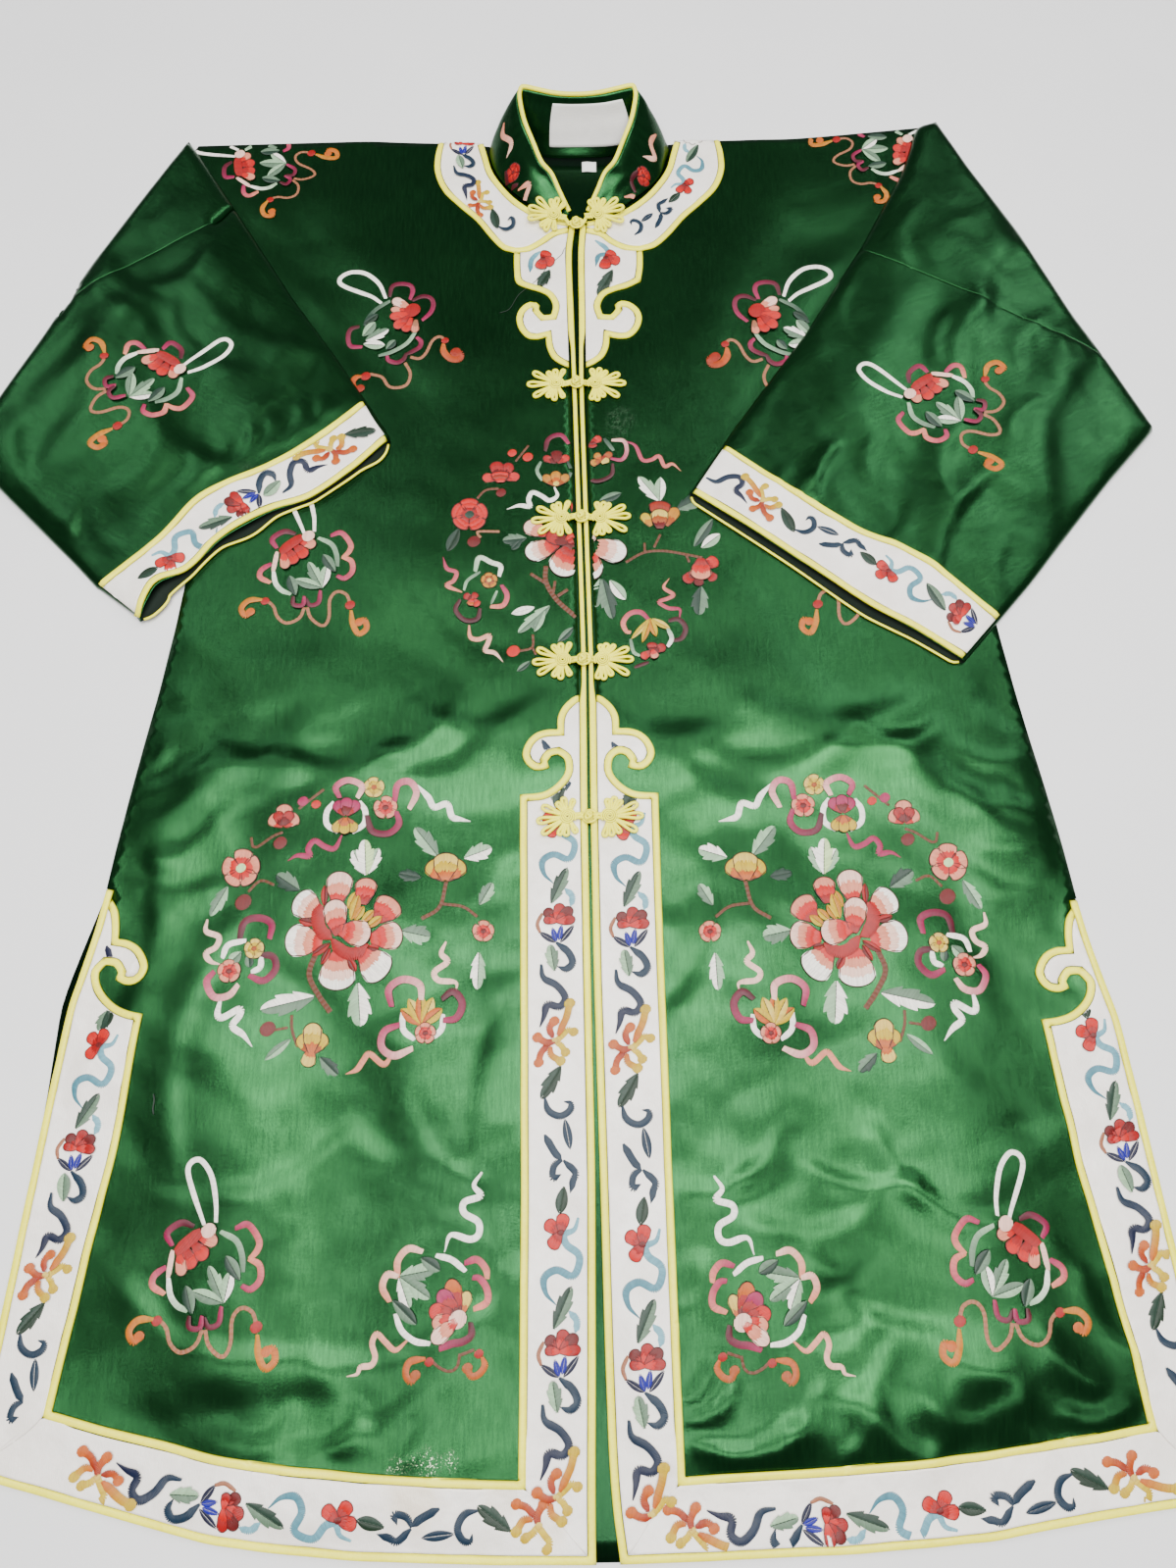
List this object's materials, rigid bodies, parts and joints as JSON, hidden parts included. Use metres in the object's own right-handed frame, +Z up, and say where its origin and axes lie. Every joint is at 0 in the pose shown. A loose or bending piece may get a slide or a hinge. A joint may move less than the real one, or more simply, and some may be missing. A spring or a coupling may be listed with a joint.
{
  "type": "chinese silk robe laid flat",
  "caption": "Knee-length green satin robe with standing collar, embroidered white cloud bands, yellow piping and frog fastenings, laid flat with its sleeves folded in.",
  "frame": {"origin": "on the table under the middle of the laid-out robe", "axes": "+Z up from the table, +Y from the hem to the collar, +X to the right as seen from above, across the robe to the wearer's left"},
  "size_m": [0.9226, 1.0647, 0.0475],
  "materials": {
    "green_satin": "satin",
    "white_satin": "satin",
    "yellow_piping": "satin",
    "frog_cord": "satin",
    "woven_label": "matt",
    "embroidery_thread": "silk thread"
  },
  "bodies": {
    "root": {"back_panel": "green_satin", "collar": "green_satin", "front_left": "green_satin", "front_right": "green_satin", "sleeve_left": "green_satin", "sleeve_right": "green_satin", "sleeve_top_left": "green_satin", "sleeve_top_right": "green_satin", "chest_cloud_left": "white_satin", "chest_cloud_right": "white_satin", "cuff_left": "white_satin", "cuff_right": "white_satin", "front_band_left": "white_satin", "front_band_right": "white_satin", "hem_band_left": "white_satin", "hem_band_right": "white_satin", "side_band_left": "white_satin", "side_band_right": "white_satin", "yoke_left": "white_satin", "yoke_right": "white_satin", "piping_band_left": "yellow_piping", "piping_band_right": "yellow_piping", "piping_chest_left": "yellow_piping", "piping_chest_right": "yellow_piping", "piping_collar": "yellow_piping", "piping_cuff_left": "yellow_piping", "piping_cuff_right": "yellow_piping", "piping_cuff_top_left": "yellow_piping", "piping_cuff_top_right": "yellow_piping", "piping_edge_left": "yellow_piping", "piping_edge_right": "yellow_piping", "piping_neck_left": "yellow_piping", "piping_neck_right": "yellow_piping", "piping_yoke_left": "yellow_piping", "piping_yoke_right": "yellow_piping", "frog_1_left": "frog_cord", "frog_1_right": "frog_cord", "frog_2_left": "frog_cord", "frog_2_right": "frog_cord", "frog_3_left": "frog_cord", "frog_3_right": "frog_cord", "frog_4_left": "frog_cord", "frog_4_right": "frog_cord", "frog_5_left": "frog_cord", "frog_5_right": "frog_cord", "knot_1": "frog_cord", "knot_2": "frog_cord", "knot_3": "frog_cord", "knot_4": "frog_cord", "knot_5": "frog_cord", "label": "woven_label", "size_tab": "woven_label"}
  },
  "joints": []
}
